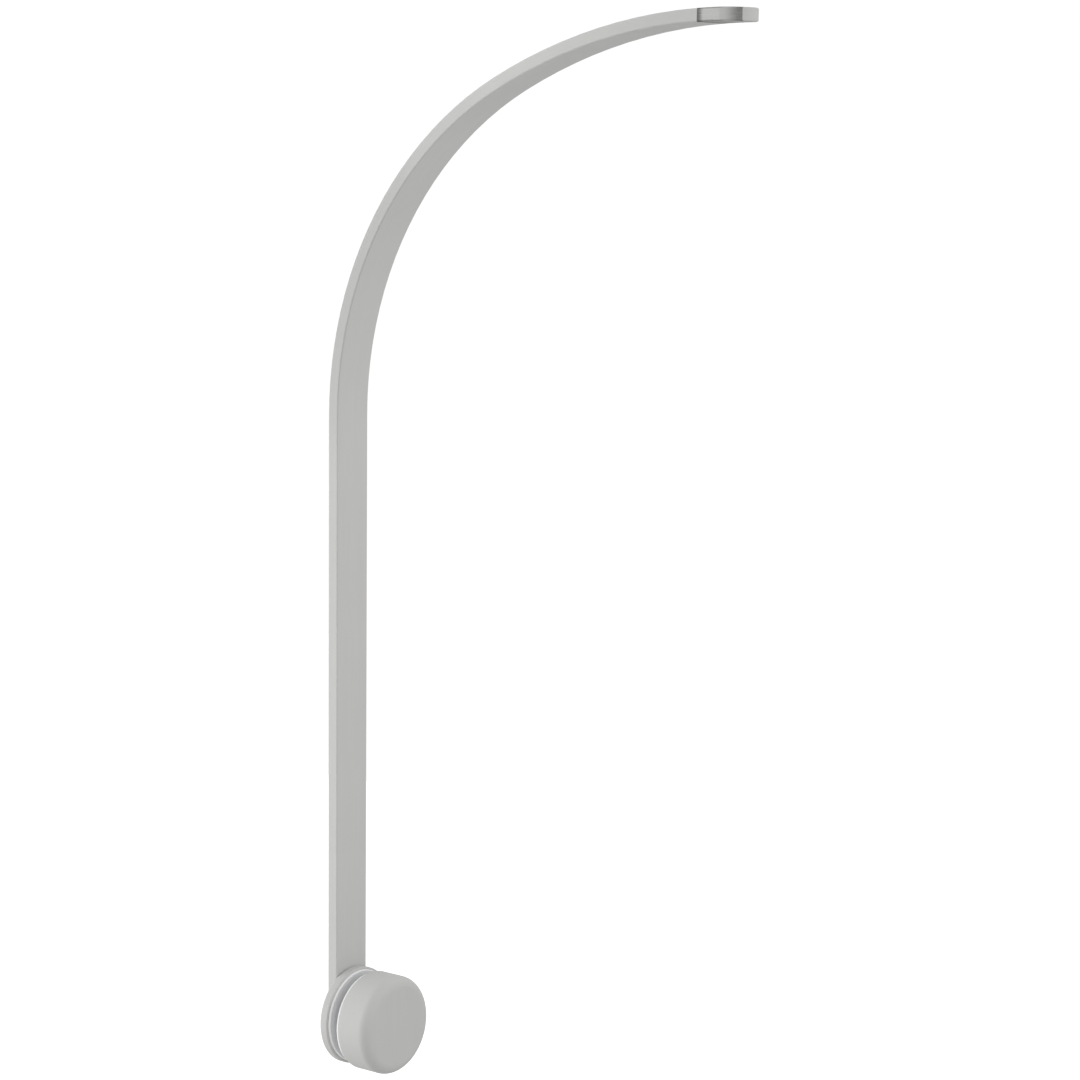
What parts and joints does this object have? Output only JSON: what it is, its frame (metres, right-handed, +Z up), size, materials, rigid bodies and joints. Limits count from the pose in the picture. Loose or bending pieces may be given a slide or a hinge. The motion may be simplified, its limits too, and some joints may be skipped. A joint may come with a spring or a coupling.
{
  "type": "crib mobile arm",
  "caption": "Tall bent strip with a rounded tip for hanging a crib mobile, held to a rail by a pad-faced clamp with a round hand knob.",
  "frame": {"origin": "where the axis of the clamp stud meets the fixed jaw's pad face", "axes": "+X out of the fixed jaw, towards the knob and along the arm's reach; +Z up along the straight leg; +Y across the strip"},
  "size_m": [0.3127, 0.065, 0.6874],
  "materials": {
    "painted_wood": "satin warm light grey paint over close-grained wood",
    "brushed_sleeve": "brushed along the strip",
    "white_pad": "matt white elastomer",
    "bare_wood": "plain turned beech",
    "zinc_steel": "bright zinc plate",
    "brass_insert": "machined"
  },
  "bodies": {
    "arm_assembly": {"arm": "painted_wood", "tip_sleeve": "brushed_sleeve", "jaw_disc": "painted_wood", "jaw_pad": "white_pad", "locating_dowels": "bare_wood", "clamp_bolt": "zinc_steel", "stud_washer": "zinc_steel", "stud_nut": "zinc_steel"},
    "pressure_pad": {"knob_pad": "white_pad"},
    "hand_knob": {"knob": "painted_wood", "knob_insert": "brass_insert"}
  },
  "joints": [
    {"name": "knob_travel", "type": "slide", "parent": "arm_assembly", "child": "pressure_pad", "axis": [1, 0, 0], "range_m": [-0.00501, 0.01126]},
    {"name": "knob_turn", "type": "hinge", "parent": "pressure_pad", "child": "hand_knob", "pos_m": [0, 0, 0], "axis": [1, 0, 0], "range_deg": [-1440, 3240]}
  ],
  "couplings": [
    {"joint": "knob_travel", "follows": "knob_turn", "m_per_rad": 0.00019894}
  ]
}
